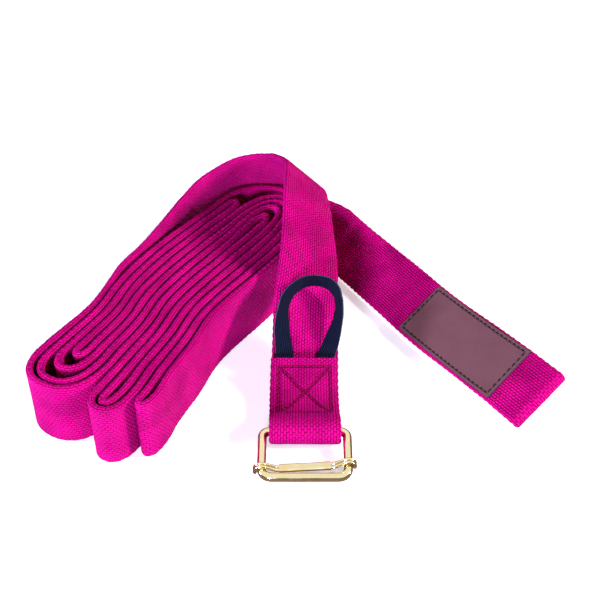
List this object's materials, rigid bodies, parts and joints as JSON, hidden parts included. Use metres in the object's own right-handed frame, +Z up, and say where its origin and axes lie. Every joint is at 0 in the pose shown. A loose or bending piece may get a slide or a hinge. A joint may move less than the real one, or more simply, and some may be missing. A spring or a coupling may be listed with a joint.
{
  "type": "stretching strap",
  "caption": "Long cotton webbing stretching strap, folded into a hank on its edge, with a sliding-bar buckle, an elastic keeper loop and a sewn leather label.",
  "frame": {"origin": "middle of the footprint, on the surface that the hank stands on", "axes": "+Z up; -Y towards the buckle, the strap's front; +X to the right, the side of the labelled end"},
  "size_m": [0.283, 0.2392, 0.0694],
  "materials": {
    "cotton_webbing": "matt woven cotton, crosswise ribs and small raised knots",
    "elastic": "ribbed navy elastic, slightly shiny",
    "magenta_thread": "sewing thread in the webbing's colour",
    "leather": "smooth mauve-brown leatherette",
    "dark_thread": "dark plum sewing thread",
    "gold_plating": "polished pale gold plating"
  },
  "bodies": {
    "strap": {"webbing": "cotton_webbing", "elastic_loop": "elastic", "box_x_stitching": "magenta_thread", "label_patch": "leather", "label_stitching": "dark_thread", "hem_stitching": "magenta_thread"},
    "buckle": {"buckle_frame": "gold_plating"},
    "slider": {"slide_wire": "gold_plating", "slide_sleeve": "gold_plating"}
  },
  "joints": [
    {"name": "buckle_swing", "type": "hinge", "parent": "strap", "child": "buckle", "pos_m": [0.00248, -0.08961, 0.0066], "axis": [-1, 0, 0], "range_deg": [0, 115]},
    {"name": "bar_slide", "type": "slide", "parent": "buckle", "child": "slider", "axis": [0, 0.9881, 0.1536], "range_m": [0, 0.01]}
  ]
}
